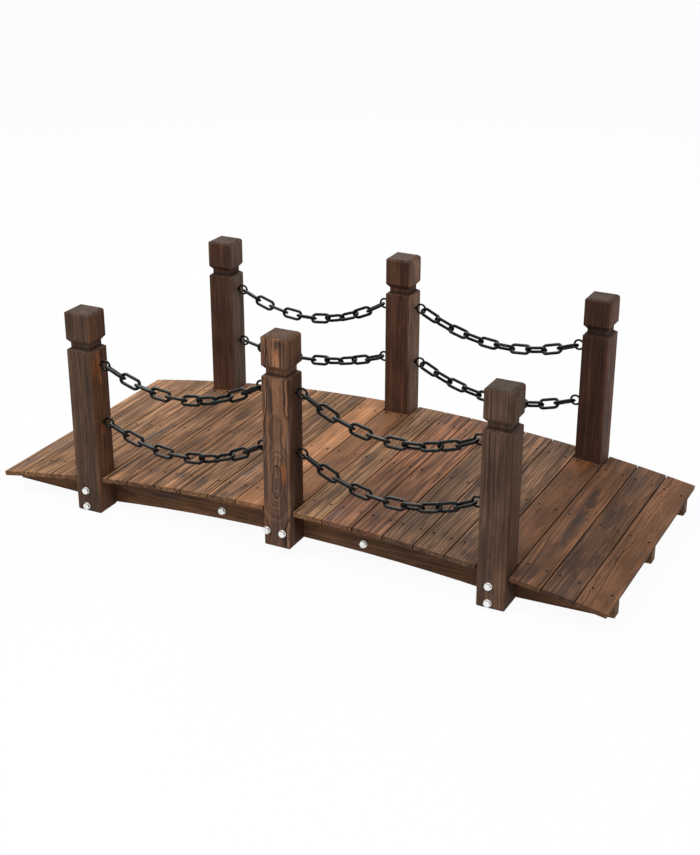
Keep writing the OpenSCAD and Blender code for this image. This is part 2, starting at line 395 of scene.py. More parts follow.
class TimberBench(MaterialBench):
    """The node tree of one timber's material, which knows the place on the timber.

    The place is across, along and out of the timber's face, as local, and the same on fibres that sway
    a little from side to side, as swayed.
    """

    def __init__(self, timber: Timber) -> None:
        """Start the material and find the places on the timber.

        Args:
            timber: The timber.
        """
        super().__init__(timber.name + "_finish")
        self.timber = timber
        self.local = self.seen_from(timber.middle, timber.turn())
        sway = self.drift((10.0, 3.0, 10.0), (2.3, 1.1, 0.7), 2.0)
        self.swayed = self.vector("MULTIPLY_ADD", sway, (0.022, 0.0, 0.022), self.local)

    def seen_from(self, middle: Vector, turn: Matrix) -> Socket:
        """The point on the object as seen from another point.

        Args:
            middle: That other point.
            turn: The rotation from that point's directions to the bridge's.

        Returns:
            The place's output.
        """
        inputs = {"Vector": self.place(), "Location": middle, "Rotation": turn.to_euler()}
        return self.add("ShaderNodeMapping", inputs, vector_type="TEXTURE").outputs[0]

    def stretched(self, cells: Spot, scatter: Spot) -> Socket:
        """The place on the timber, measured in cells.

        Args:
            cells: Cells per metre across, along and out of the face.
            scatter: How far the timber's seed moves the cells.

        Returns:
            The place's output.
        """
        shift = tuple(self.timber.seed * part for part in scatter)
        return self.vector("MULTIPLY_ADD", self.local, cells, shift)

    def drift(self, cells: Spot, scatter: Spot, detail: float) -> Socket:
        """A vector that wanders about zero over the timber.

        Args:
            cells: Cells per metre across, along and out of the face.
            scatter: How far the timber's seed moves the cells.
            detail: How many finer layers are added.

        Returns:
            The vector's output.
        """
        noise = self.noise(self.stretched(cells, scatter), 1.0, detail)
        return self.vector("SUBTRACT", noise.outputs[1], (0.5, 0.5, 0.5))

    def inside(self, half: float, value: Socket) -> Socket:
        """How far a place lies inside a pair of edges.

        Args:
            half: How far the edges lie from the middle, in metres.
            value: The place's distance from the middle.

        Returns:
            The distance's output.
        """
        return self.math("SUBTRACT", half, self.math("ABSOLUTE", value))


@dataclass(frozen=True)
class Streak:
    """Noise drawn out along the fibres, and where it counts.

    Attributes:
        across: Cells per metre across the grain.
        along: Cells per metre along the grain.
        low: The noise at which it begins to count.
        high: The noise at which it counts in full.
        detail: How many finer layers are added.
        sways: Whether it sways with the fibres.
    """

    across: float
    along: float
    low: float
    high: float
    detail: float = 1.5
    sways: bool = True


class Layer(Enum):
    """The streaks, lines and patches that make up the grain."""

    CLOUD = Streak(8.0, 2.2, 0.34, 0.66, 2.0)
    BLOT = Streak(32.0, 9.0, 0.34, 0.66, 3.0)
    PATCH = Streak(12.0, 3.0, 0.52, 0.68, 3.0, sways=False)
    FADE = Streak(10.0, 1.5, 0.38, 0.6, sways=False)
    WARM = Streak(30.0, 0.9, 0.5, 0.68)
    RUB = Streak(34.0, 5.0, 0.4, 0.62, sways=False)
    RAGGED = Streak(60.0, 8.0, 0.2, 0.8, 3.0, sways=False)
    VEIN = Streak(70.0, 1.0, 0.53, 0.64)
    LINE = Streak(140.0, 1.9, 0.5, 0.57, 2.0)
    GLINT = Streak(190.0, 2.2, 0.55, 0.66)
    HAIR = Streak(280.0, 1.8, 0.34, 0.66)
    PORE = Streak(330.0, 14.0, 0.6, 0.72)

    def spread(self, bench: TimberBench, start: float = 0.0, end: float = 1.0) -> Socket:
        """Lay the layer over a timber.

        Args:
            bench: The timber's node bench.
            start: The result where the layer doesn't count.
            end: The result where it counts in full.

        Returns:
            The layer's output.
        """
        kind = self.value
        own = bench.timber.seed + 0.11 * kind.across
        shift = (own * 3.71, own * 1.93, own * 2.57)
        place = bench.swayed if kind.sways else bench.local
        spot = bench.vector("MULTIPLY_ADD", place, (kind.across, kind.along, kind.across), shift)
        return bench.ramp(bench.noise(spot, 1.0, kind.detail).outputs[0], kind.low, kind.high, start, end)


class Border(Enum):
    """How worn edges with their painted highlight, painted shade and tones fade inwards from an edge.

    Each has the distance to which it is full and the one at which it is gone, in metres, and how much shows.
    """

    EDGE = (0.0010, 0.0055, 1.0)
    SEAM = (0.0002, 0.0010, 0.6)
    SAWN = (0.0005, 0.0013, 0.7)
    NECK = (0.0110, 0.0240, 0.35)
    JOINT = (0.0012, 0.0040, 0.85)
    FLANK = (0.0010, 0.0050, 0.85)
    CROWN = (0.0010, 0.0060, 0.7)

    def fade(self, bench: NodeBench, away: Socket) -> Socket:
        """How much shows at a distance from the edge.

        Args:
            bench: The material's node bench.
            away: The distance from the edge, in metres.

        Returns:
            The share's output.
        """
        full, gone, share = self.value
        return bench.ramp(away, full, gone, share, 0.0)


class Smudge(Enum):
    """The colours of single marks."""

    ASH = (86, 81, 82)
    SOOT = (66, 55, 51)
    KNOT = (82, 62, 52)
    CHAR = (60, 47, 41)
    RUST = (150, 88, 46)
    BARE = (118, 84, 62)
    # Laid only as painted light, over the far halves of the first boards
    PALE = (182, 138, 110)
    # A near-black brown laid as painted shade in the deck's seams and in the posts' necks
    PAINTED_SHADE = (34, 22, 16)


@dataclass(frozen=True)
class Mark:
    """One scorched, rubbed or knotty place on a timber, or a patch of painted light or shade.

    Attributes:
        spot: Its middle across, along and out of the timber's face, from the timber's middle, in metres.
        size: Half its width, length and depth, in metres.
        smudge: The colour that it leans to.
        share: How much of that colour shows.
        rim: Where its ragged edge begins and ends, as shares of its size.
    """

    spot: Spot
    size: Spot
    smudge: Smudge
    share: float
    rim: tuple[float, float] = (0.45, 1.15)

    @classmethod
    def on_board(
        cls, across: float, along: float, wide: float, long: float, smudge: Smudge, share: float = 0.6
    ) -> "Mark":
        """Make a mark on the top face of a deck board.

        Args:
            across: Its middle across the board, in metres.
            along: Its middle along the board, in metres.
            wide: Half its width, in metres.
            long: Half its length, in metres.
            smudge: Its colour.
            share: How much of that colour shows.

        Returns:
            The mark.
        """
        return cls((across, along, 0.0), (wide, long, THROUGH), smudge, share)

    @classmethod
    def stripe(
        cls, across: float, along: float, long: float, wide: float = 0.0026, deep: float = 0.012
    ) -> "Mark":
        """Make a bold dark line on the front face of a post.

        Args:
            across: Its middle across the post, in metres.
            along: Its middle along the post, in metres.
            long: Half its length, in metres.
            wide: Half its width, in metres.
            deep: Half its depth, in metres.

        Returns:
            The mark.
        """
        return cls((across, along, FACE), (wide, long, deep), Smudge.CHAR, share=0.9)

    def lay(self, bench: TimberBench, ragged: Socket, wood: Socket) -> Socket:
        """Lay the mark over the grain.

        Args:
            bench: The timber's node bench.
            ragged: How far the mark's edge moves in and out, as a share of its size.
            wood: The grain's colour.

        Returns:
            The colour's output.
        """
        off = bench.vector("SUBTRACT", bench.local, self.spot)
        away = bench.length(bench.vector("DIVIDE", off, self.size))
        shown = bench.ramp(bench.math("ADD", away, ragged), *self.rim, self.share, 0.0)
        return bench.tint(shown, wood, self.smudge.value)


@dataclass(frozen=True)
class Stain:
    """The colours of one stained, scorched timber, as seen on a screen.

    Attributes:
        early: The soft wood of each ring.
        late: The hard dark line of each ring.
        glow: The warm streaks where the stain is thin, and worn edges that also carry a painted highlight.
        smoke: The grey patches of the scorching.
    """

    early: Colour
    late: Colour
    glow: Colour
    smoke: Colour


class Tone(Enum):
    """The deck boards' stains, from the palest to the most scorched."""

    TAN = Stain((177, 125, 87), (100, 65, 42), (190, 135, 92), (108, 86, 69))
    HONEY = Stain((158, 118, 86), (78, 54, 37), (184, 136, 90), (90, 79, 70))
    WARM = Stain((140, 98, 68), (84, 55, 38), (162, 111, 73), (92, 75, 62))
    ROSY = Stain((141, 100, 75), (70, 46, 36), (168, 115, 80), (82, 67, 59))
    BROWN = Stain((148, 109, 80), (58, 40, 30), (172, 123, 82), (80, 69, 60))
    GREY = Stain((122, 92, 71), (60, 44, 36), (146, 105, 76), (78, 66, 58))
    UMBER = Stain((113, 79, 57), (66, 44, 33), (140, 95, 60), (80, 61, 50))
    RUSSET = Stain((98, 67, 48), (60, 41, 30), (118, 80, 53), (74, 57, 47))
    SMOKY = Stain((96, 68, 51), (46, 33, 27), (124, 86, 58), (62, 52, 47))


class Timbers(Enum):
    """The posts' and beams' stains."""

    POST = Stain((82, 62, 50), (48, 34, 26), (102, 72, 50), (67, 54, 45))
    SHADED = Stain((72, 54, 44), (42, 30, 24), (90, 65, 46), (60, 49, 42))
    FIGURED = Stain((109, 75, 54), (42, 26, 18), (148, 107, 78), (80, 62, 50))
    DEEP = Stain((76, 50, 37), (44, 29, 21), (98, 65, 45), (60, 45, 37))
    DARK = Stain((61, 40, 30), (38, 25, 18), (80, 54, 38), (51, 38, 31))
    BEAM = Stain((97, 69, 50), (52, 35, 25), (126, 87, 58), (64, 48, 39))


@dataclass(frozen=True)
class WoodFinish:
    """Stained and lightly scorched softwood with its grain brushed out.

    Attributes:
        stain: The colours.
        lines: How strongly the ring lines show.
        veins: How strongly the straight dark lines show.
        streaks: How much the warm streaks show.
        scorch: How much the grey patches show.
        knots: How much the knots show.
        wear_and_highlight: How much the edges are worn and carry a painted highlight.
        figure: How much a pale line follows each dark one.
        fading: How much the ring lines fade in places.
        hair: How much the finest fibres lighten and darken the wood.
        right_face_lighting: The colour that the right face of a post leans to, which is painted shade on the
            front posts and a painted sheen on the back posts.
        crown: The colour that the end grain of a post's top leans to.
        marks: The timber's single marks.
        year: How one ring goes from soft to hard wood.
        cloud: The brightness of its darkest and lightest clouds.
        blot: The brightness of its darkest and lightest blots.
        pores: How much its pores show.
        rough: The roughness of its smoothest and roughest fibres.
        shine: How much it mirrors.
        relief: The height of its brushed grain, in metres.
    """

    stain: Stain
    lines: float = 0.7
    veins: float = 0.4
    streaks: float = 0.5
    scorch: float = 0.3
    knots: float = 0.0
    wear_and_highlight: float = 0.4
    figure: float = 0.2
    fading: float = 0.6
    hair: float = 0.26
    right_face_lighting: Colour | None = None
    crown: Colour | None = None
    marks: tuple[Mark, ...] = ()
    year: Year = Year()
    cloud: tuple[float, float] = (0.86, 1.12)
    blot: tuple[float, float] = (0.8, 1.19)
    pores: float = 0.7
    rough: tuple[float, float] = (0.6, 0.8)
    shine: float = 0.12
    relief: float = 0.0006

    def rings(self, bench: TimberBench, swell: Socket) -> tuple[Socket, Socket]:
        """The log's year rings where the saw cut through them.

        Args:
            bench: The timber's node bench.
            swell: How far a knot pushes the rings outwards, in metres.

        Returns:
            The output of the dark lines and the output of the pale lines that follow them, from 0 to 1.
        """
        cut, year, turn = bench.timber.cut, self.year, bench.timber.turn()
        heart = bench.timber.middle + turn @ Vector((cut.side, 0.0, -cut.depth))
        tipped = turn @ Euler((math.radians(cut.tip), 0.0, math.radians(0.3 * cut.tip))).to_matrix()
        aside = bench.drift((14.0, cut.ripple, 14.0), (1.7, 2.9, 0.0), 3.0)
        wander = (cut.wander, 0.0, cut.wander)
        moved = bench.vector("MULTIPLY_ADD", aside, wander, bench.seen_from(heart, tipped))
        across, along, depth = bench.apart(moved)
        for rise in cut.rises:
            away = bench.math("ABSOLUTE", bench.math("SUBTRACT", along, rise.at))
            depth = bench.math("SUBTRACT", depth, bench.ramp(away, 0.0, rise.reach, rise.height, 0.0))
        flat = bench.add("ShaderNodeCombineXYZ", {0: across, 2: depth}).outputs[0]
        years = bench.math("DIVIDE", bench.math("ADD", bench.length(flat), swell), cut.ring)
        years = bench.math("ADD", years, bench.times(bench.noise_1d(years, 0.37, 1.0), year.uneven))
        part = bench.math("FRACT", years)
        begin, full, end, gone = year.dark
        line = bench.times(bench.ramp(part, begin, full), bench.ramp(part, end, gone, 1.0, 0.0))
        begin, gone = year.pale
        pale = bench.math("ADD", bench.ramp(part, 0.0, gone, 1.0, 0.0), bench.ramp(part, begin, 1.0))
        good = bench.ramp(bench.noise_1d(years, 0.61, 0.0), 0.3, 0.6, year.weak, 1.0)
        beside = bench.math("ABSOLUTE", across)
        clear = bench.ramp(beside, 0.6 * cut.spread, cut.spread, 1.0, 0.15)
        shown = bench.times(good, Layer.FADE.spread(bench, 1.0 - self.fading, 1.0), clear)
        return bench.times(line, shown), bench.times(pale, shown)

    def grain_colour(self, bench: TimberBench) -> tuple[Socket, Socket]:
        """The colour of the bare grain: rings, knots, marks and streaks.

        Args:
            bench: The timber's node bench.

        Returns:
            The colour's output and the ring lines' output.
        """
        stain = self.stain
        cells = bench.stretched((9.0, 2.6, 0.0), (4.3, 2.1, 0.0))
        inputs = {"Vector": cells, "Scale": 1.0}
        knot = bench.add("ShaderNodeTexVoronoi", inputs, voronoi_dimensions="2D").outputs[0]
        swell = bench.ramp(knot, 0.0, 0.34, 0.022 * self.knots, 0.0)
        line, pale = self.rings(bench, swell)
        wood = bench.tint(Layer.WARM.spread(bench, 0.0, self.streaks), linear(stain.early), stain.glow)
        wood = bench.tint(Layer.PATCH.spread(bench, 0.0, self.scorch), wood, stain.smoke)
        wood, plain = self.faced(bench, wood)
        ragged = Layer.RAGGED.spread(bench, -0.7, 0.7)
        for mark in self.marks:
            wood = mark.lay(bench, ragged, wood)
        glint = Layer.GLINT.spread(bench, 0.0, 0.8 * self.streaks)
        wood = bench.tint(bench.times(glint, plain), wood, stain.glow)
        wood = bench.tint(bench.times(pale, self.figure, plain), wood, stain.glow)
        wood = bench.tint(bench.times(line, self.lines), wood, stain.late)
        dark_lines = {Layer.VEIN: 0.6 * self.veins, Layer.LINE: 0.8 * self.veins, Layer.PORE: self.pores}
        for layer, share in dark_lines.items():
            wood = bench.tint(layer.spread(bench, 0.0, share), wood, stain.late)
        core = bench.ramp(knot, 0.02, 0.08, self.knots, 0.0)
        return bench.tint(core, wood, stain.smoke), line

    def faced(self, bench: TimberBench, wood: Socket) -> tuple[Socket, object]:
        """The tones of a post's right face, which carry painted shade or sheen, and of its top.

        Args:
            bench: The timber's node bench.
            wood: The bare wood's colour.

        Returns:
            The colour's output, and how strongly pale lines show on that face, from 0 to 1.
        """
        across, along, _ = bench.apart(bench.local)
        plain = 1.0
        if self.right_face_lighting:
            # The right face leans to painted shade on the front posts and to a painted sheen on the back
            # ones
            right = Border.FLANK.fade(bench, bench.math("SUBTRACT", bench.timber.half, across))
            wood = bench.tint(right, wood, self.right_face_lighting)
            plain = bench.math("SUBTRACT", 1.0, right)
        if self.crown:
            top = Border.CROWN.fade(bench, bench.math("SUBTRACT", bench.timber.reach, along))
            wood = bench.tint(top, wood, self.crown)
        return wood, plain

    def weathered(self, bench: TimberBench, wood: Socket) -> Socket:
        """The bare grain with its worn edges, which carry a painted highlight too, and painted shade in its
        seams and grooves.

        Args:
            bench: The timber's node bench.
            wood: The bare grain's colour.

        Returns:
            The colour's output.
        """
        timber, painted_shade = bench.timber, Smudge.PAINTED_SHADE.value
        across, along, out = bench.apart(bench.local)
        beside = bench.inside(timber.half, across)
        to_end = bench.inside(timber.reach, along)
        edge = bench.math("MINIMUM", beside, to_end)
        # Worn edges lean to the glow colour, partly as wear and partly as a painted highlight; a post's top
        # edges get it too
        if timber.grain is Grain.UP:
            depth = bench.inside(timber.half, out)
            upright = bench.math("MAXIMUM", beside, depth)
            rim = bench.math("MAXIMUM", bench.math("MINIMUM", beside, depth), to_end)
            edge = bench.math("MINIMUM", upright, rim)
        rub_and_highlight = Layer.RUB.spread(bench, 0.1, 1.0)
        worn = bench.times(Border.EDGE.fade(bench, edge), self.wear_and_highlight, rub_and_highlight)
        wood = bench.tint(worn, wood, self.stain.glow)
        if timber.grain is Grain.ACROSS:
            # Painted shade along the boards' side edges, where they roll into the gaps between boards
            wood = bench.tint(Border.SEAM.fade(bench, beside), wood, painted_shade)
            wood = bench.tint(Border.SAWN.fade(bench, to_end), wood, self.stain.late)
        # Painted shade in the neck under the head and along the foot of the groove
        if timber.groove is not None:
            up = bench.math("SUBTRACT", along, timber.groove)
            neck = bench.times(bench.ramp(up, 0.0, 0.001), Border.NECK.fade(bench, up))
            wood = bench.tint(neck, wood, painted_shade)
            wood = bench.tint(Border.JOINT.fade(bench, bench.math("ABSOLUTE", up)), wood, painted_shade)
        return wood

    def material(self, timber: Timber) -> bpy.types.Material:
        """Make the material of one timber.

        Args:
            timber: The timber.

        Returns:
            A material whose grain runs with that timber.
        """
        bench = TimberBench(timber)
        wood, line = self.grain_colour(bench)
        wood = self.weathered(bench, wood)
        fine = Layer.HAIR.spread(bench)
        shade = bench.ramp(fine, 0.0, 1.0, 1.0 - self.hair, 1.0 + self.hair)
        cloud = Layer.CLOUD.spread(bench, *self.cloud)
        shade = bench.times(shade, cloud, Layer.BLOT.spread(bench, *self.blot))
        toned = bench.add("ShaderNodeVectorMath", {0: wood, "Scale": shade}, operation="SCALE").outputs[0]
        height = bench.math("ADD", bench.times(fine, 0.6), bench.times(line, 0.5))
        bench.surface(
            Base_Color=toned,
            Roughness=bench.ramp(fine, 0.0, 1.0, *self.rough),
            Specular_IOR_Level=self.shine,
            Normal=bench.bump(height, 0.45, self.relief),
        )
        return bench.material


@dataclass(frozen=True)
class MetalFinish:
    """A metal or painted metal surface with fine unevenness.

    Attributes:
        name: The material's name.
        bright: The colour of its cleaner places.
        dull: The colour of its duller places.
        metallic: How metallic it is.
        smooth: Its lowest roughness.
        rough: Its highest roughness.
        grain: Cells per metre of its unevenness.
        dent: The depth of its unevenness, in metres.
        shine: How much it mirrors where it isn't metallic.
        rub_and_highlight: The colour of a painted highlight on its upward sides, if it has one.
        upward: How far up a side faces where the painted highlight begins and is full, with 1 for straight
            up.
    """

    name: str
    bright: Colour
    dull: Colour
    metallic: float
    smooth: float
    rough: float
    grain: float
    dent: float
    shine: float = 0.5
    rub_and_highlight: Colour | None = None
    upward: tuple[float, float] = (0.72, 1.0)

    def material(self) -> bpy.types.Material:
        """Make the material.

        Returns:
            The metal's material.
        """
        bench = MaterialBench(self.name)
        cloud = bench.noise(bench.place(), self.grain, 4.0).outputs[0]
        pits = bench.noise(bench.place(), 4.0 * self.grain, 3.0).outputs[0]
        colour = bench.tint(bench.ramp(cloud, 0.35, 0.68), linear(self.bright), self.dull)
        # Painted highlight: the upward-facing sides lean to a lighter colour
        if self.rub_and_highlight:
            facing = bench.add("ShaderNodeNewGeometry").outputs["Normal"]
            colour = bench.tint(bench.ramp(bench.apart(facing)[2], *self.upward), colour, self.rub_and_highlight)
        bench.surface(
            Base_Color=colour,
            Metallic=self.metallic,
            Roughness=bench.ramp(cloud, 0.3, 0.7, self.smooth, self.rough),
            Specular_IOR_Level=self.shine,
            Normal=bench.bump(pits, 0.4, self.dent),
        )
        return bench.material


# The chain's lighter upward sides are a painted highlight
CHAIN_BLACK = MetalFinish(
    "chain_black", (12, 11, 10), (5, 5, 5), 0.0, 0.2, 0.34, 90.0, 0.0003, 0.12, rub_and_highlight=(96, 98, 94)
)
BOLT_ZINC = MetalFinish("bolt_zinc", (246, 246, 244), (222, 222, 220), 0.85, 0.18, 0.32, 160.0, 0.0001)
SCREW_DARK = MetalFinish("screw_dark", (22, 16, 13), (10, 8, 7), 0.0, 0.6, 0.8, 700.0, 0.0001, 0.04)


def finished(piece: bpy.types.Object, material: bpy.types.Material) -> None:
    """Dress a piece in one material all over.

    Args:
        piece: The piece.
        material: Its material.
    """
    piece.data.materials.clear()
    piece.data.materials.append(material)
    log.info("%s: dressed", piece.name)


def placed(name: str, shape: bmesh.types.BMesh) -> bpy.types.Object:
    """Turn a finished shape into an object of the scene.

    Args:
        name: The object's name.
        shape: Its shape, in the bridge's frame.

    Returns:
        The new object.
    """
    mesh = bpy.data.meshes.new(name)
    shape.to_mesh(mesh)
    shape.free()
    piece = bpy.data.objects.new(name, mesh)
    bpy.context.scene.collection.objects.link(piece)
    log.info("%s: %d faces", name, len(mesh.polygons))
    return piece


def settle(name: str, shape: bmesh.types.BMesh) -> bpy.types.Object:
    """Turn a finished shape into a piece that rides on the bridge.

    Args:
        name: The piece's name.
        shape: Its shape, in the bridge's frame.

    Returns:
        The new piece.
    """
    piece = placed(name, shape)
    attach(piece, "root")
    return piece


@dataclass(frozen=True)
class BoardChoice:
    """What one deck board looks like.

    Attributes:
        tone: Its stain.
        sawing: How it was sawn.
        scorch: How much grey patches show.
        knots: How much its knots show.
        lines: How strongly its ring lines show.
        veins: How strongly its straight dark lines show.
        figure: How much a pale line follows each ring line.
        marks: Its single marks.
    """

    tone: Tone
    sawing: Sawing
    scorch: float = 0.3
    knots: float = 0.0
    lines: float = 0.6
    veins: float = 0.7
    figure: float = 0.25
    marks: tuple[Mark, ...] = ()

    def lively(self) -> float:
        """How lively its fine grain is, next to that of a strongly veined board."""
        return 0.2 + 0.95 * self.veins


# The look of each deck board, from left to right
BOARDS = (
    BoardChoice(Tone.HONEY, Sawing.STRAIGHT, 0.4, marks=(
        Mark.on_board(-0.009, -0.266, 0.024, 0.050, Smudge.ASH),
        Mark.on_board(0.000, -0.166, 0.030, 0.060, Smudge.ASH),
        # Painted shade over the near half and painted light over the far half of this board
        Mark.on_board(0.000, -0.220, 0.050, 0.150, Smudge.CHAR, 0.2),
        Mark.on_board(0.000, 0.200, 0.050, 0.180, Smudge.PALE, 0.4),
    )),
    BoardChoice(Tone.HONEY, Sawing.RIFT, 0.2, marks=(
        Mark.on_board(-0.009, -0.265, 0.012, 0.045, Smudge.KNOT),
        # Painted light over the far half
        Mark.on_board(0.000, 0.200, 0.050, 0.180, Smudge.PALE, 0.4),
    )),
    BoardChoice(Tone.HONEY, Sawing.ARCHED, 0.2, 0.4, marks=(
        Mark.on_board(0.000, -0.290, 0.050, 0.090, Smudge.CHAR, 0.25),
    )),
    BoardChoice(Tone.BROWN, Sawing.STRAIGHT, 0.4, marks=(
        Mark.on_board(-0.004, -0.063, 0.018, 0.050, Smudge.ASH),
        Mark.on_board(0.013, -0.020, 0.012, 0.040, Smudge.ASH, 0.5),
    )),
    BoardChoice(Tone.BROWN, Sawing.RIFT, 0.2),
    BoardChoice(Tone.BROWN, Sawing.ARCHED, marks=(
        Mark.on_board(0.006, 0.114, 0.022, 0.050, Smudge.KNOT, 0.7),
        Mark.on_board(-0.008, -0.267, 0.016, 0.030, Smudge.ASH),
    )),
    BoardChoice(Tone.BROWN, Sawing.STRAIGHT, 0.2, lines=0.4, marks=(
        Mark.on_board(-0.026, 0.014, 0.010, 0.020, Smudge.KNOT),
        Mark.on_board(0.016, -0.066, 0.008, 0.014, Smudge.KNOT),
        Mark.on_board(-0.004, -0.262, 0.014, 0.026, Smudge.ASH, 0.7),
        Mark.on_board(0.000, -0.030, 0.050, 0.150, Smudge.CHAR, 0.22),
    )),
    BoardChoice(Tone.HONEY, Sawing.RIFT, marks=(
        Mark.on_board(-0.007, -0.285, 0.016, 0.022, Smudge.ASH, 0.5),
    )),
    BoardChoice(Tone.BROWN, Sawing.STRAIGHT, 0.4, marks=(
        Mark.on_board(-0.003, -0.318, 0.012, 0.014, Smudge.KNOT),
        Mark.on_board(-0.004, -0.189, 0.014, 0.024, Smudge.ASH),
        Mark.on_board(0.000, -0.130, 0.050, 0.090, Smudge.CHAR, 0.3),
    )),
    BoardChoice(Tone.TAN, Sawing.STRAIGHT, 0.05, lines=0.25, veins=0.2, marks=(
        Mark.on_board(0.000, 0.080, 0.050, 0.180, Smudge.CHAR, 0.15),
    )),
    BoardChoice(Tone.WARM, Sawing.RIFT, 0.1, lines=0.25, veins=0.3, marks=(
        Mark.on_board(0.000, -0.130, 0.050, 0.090, Smudge.CHAR, 0.25),
    )),
    BoardChoice(Tone.HONEY, Sawing.ARCHED, 0.4, marks=(
        Mark.on_board(-0.011, -0.009, 0.014, 0.070, Smudge.SOOT),
    )),
    BoardChoice(Tone.ROSY, Sawing.RIFT, marks=(
        Mark.on_board(-0.023, -0.285, 0.012, 0.050, Smudge.ASH),
        Mark.on_board(-0.014, 0.295, 0.022, 0.030, Smudge.SOOT),
    )),
    BoardChoice(Tone.ROSY, Sawing.STRAIGHT, 0.2, lines=1.0, marks=(
        Mark.on_board(-0.008, -0.266, 0.020, 0.045, Smudge.SOOT, 0.7),
    )),
    BoardChoice(Tone.GREY, Sawing.STRAIGHT),
    BoardChoice(Tone.GREY, Sawing.ARCHED_DOWN, 0.2, marks=(
        Mark.on_board(0.000, 0.010, 0.045, 0.110, Smudge.SOOT, 0.6),
    )),
    BoardChoice(Tone.GREY, Sawing.STRAIGHT, 0.4, lines=0.5, marks=(
        Mark.on_board(0.005, -0.303, 0.016, 0.022, Smudge.SOOT),
        # Painted shade over the far end
        Mark.on_board(0.000, 0.220, 0.050, 0.180, Smudge.CHAR, 0.4),
    )),
    BoardChoice(Tone.RUSSET, Sawing.RIFT, 0.05, lines=0.15, veins=0.15, marks=(
        Mark.on_board(-0.002, 0.239, 0.030, 0.050, Smudge.RUST, 0.3),
    )),
    BoardChoice(Tone.UMBER, Sawing.ARCHED, lines=1.0, veins=0.35, figure=0.9, marks=(
        Mark.on_board(-0.002, 0.087, 0.012, 0.060, Smudge.CHAR, 0.9),
        Mark.on_board(0.005, -0.062, 0.015, 0.095, Smudge.CHAR, 0.9),
        Mark.on_board(-0.006, -0.286, 0.034, 0.050, Smudge.CHAR, 0.7),
    )),
    BoardChoice(Tone.SMOKY, Sawing.RIFT, 0.5, veins=0.45, marks=(
        Mark.on_board(-0.003, 0.061, 0.030, 0.070, Smudge.CHAR, 0.75),
        Mark.on_board(-0.019, 0.214, 0.020, 0.090, Smudge.SOOT, 0.5),
        Mark.on_board(0.012, -0.267, 0.020, 0.022, Smudge.CHAR),
    )),
    BoardChoice(Tone.UMBER, Sawing.CURLED, 0.1, lines=1.0, veins=0.12, figure=0.9),
)


@dataclass(frozen=True)
class ScrewHead:
    """A low round screw head with a cross recess.

    Attributes:
        radius: Its radius, in metres.
        height: How far it stands proud of the board, in metres.
        taper: Its top's radius, as a share of its radius.
        rim: The width of its flat rim, as a share of its radius.
        pinch: How far the recess draws in between the arms of the cross, as a share.
        sunk: The recess's depth, as a share of the height.
        narrow: The width of the recess's floor, as a share of its mouth.
        sides: How many sides make it round.
    """

    radius: float = 0.0031
    height: float = 0.0003
    taper: float = 0.86
    rim: float = 0.3
    pinch: float = 0.38
    sunk: float = 0.9
    narrow: float = 0.7
    sides: int = 12

    def shape(self) -> bmesh.types.BMesh:
        """Shape the head.

        Returns:
            The head on the plane of the board's face.
        """
        shape = bmesh.new()
        radius = self.radius
        sizes = {"radius1": radius, "radius2": self.taper * radius, "depth": 2 * self.height}
        bmesh.ops.create_cone(shape, cap_ends=True, segments=self.sides, **sizes)
        half_side = Matrix.Rotation(math.pi / self.sides, 3, "Z")
        bmesh.ops.rotate(shape, matrix=half_side, verts=shape.verts)
        top = max(shape.faces, key=lambda f: f.calc_center_median().z)
        bmesh.ops.inset_region(shape, faces=[top], thickness=self.rim * radius)
        corners = [v for v in top.verts if abs(abs(v.co.x) - abs(v.co.y)) < 0.1 * radius]
        bmesh.ops.scale(shape, vec=(self.pinch, self.pinch, 1.0), verts=corners)
        sunk = bmesh.ops.extrude_face_region(shape, geom=[top])
        floor = [v for v in sunk["geom"] if isinstance(v, bmesh.types.BMVert)]
        bmesh.ops.translate(shape, vec=(0.0, 0.0, -self.sunk * self.height), verts=floor)
        bmesh.ops.scale(shape, vec=(self.narrow, self.narrow, 1.0), verts=floor)
        bmesh.ops.delete(shape, geom=[top], context="FACES_ONLY")
        bmesh.ops.recalc_face_normals(shape, faces=shape.faces)
        return shape


